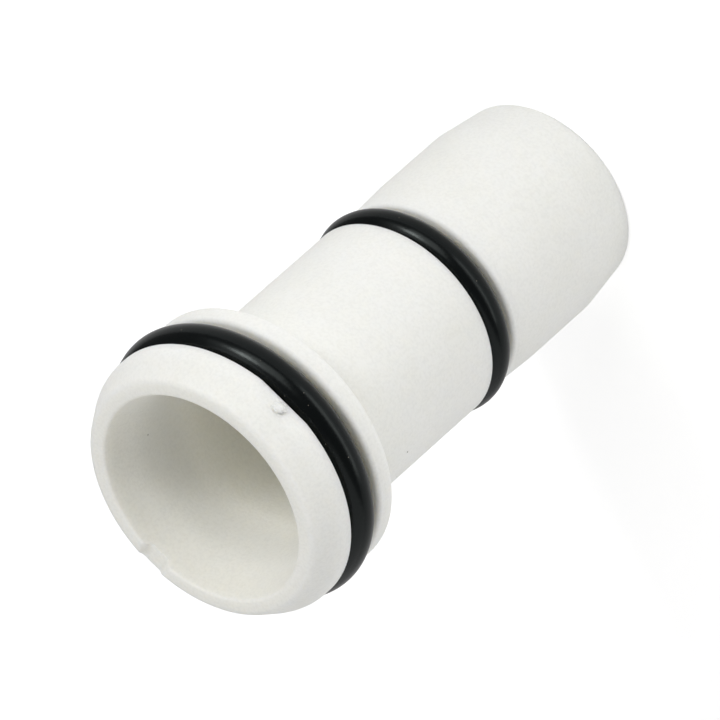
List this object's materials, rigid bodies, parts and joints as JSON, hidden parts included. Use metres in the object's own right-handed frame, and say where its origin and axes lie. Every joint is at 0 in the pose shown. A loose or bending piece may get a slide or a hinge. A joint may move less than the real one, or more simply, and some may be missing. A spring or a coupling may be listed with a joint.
{
  "type": "push-fit pipe insert",
  "caption": "White moulded pipe insert with a wide mouth, chamfered head, stop collar, shank and tapered spigot, sealed by two black rubber O-rings.",
  "frame": {"origin": "centre of the foot, the spigot's end face", "axes": "+Z along the insert's axis from the foot up to the head; the slot across the front ring is on +Y and the trimmed gate on -Y"},
  "size_m": [0.0154, 0.0154, 0.0285],
  "materials": {
    "moulding": "satin white acetal, as moulded",
    "seal": "smooth black EPDM rubber"
  },
  "bodies": {
    "root": {"insert_body": "moulding", "head_o_ring": "seal", "shank_o_ring": "seal"}
  },
  "joints": []
}
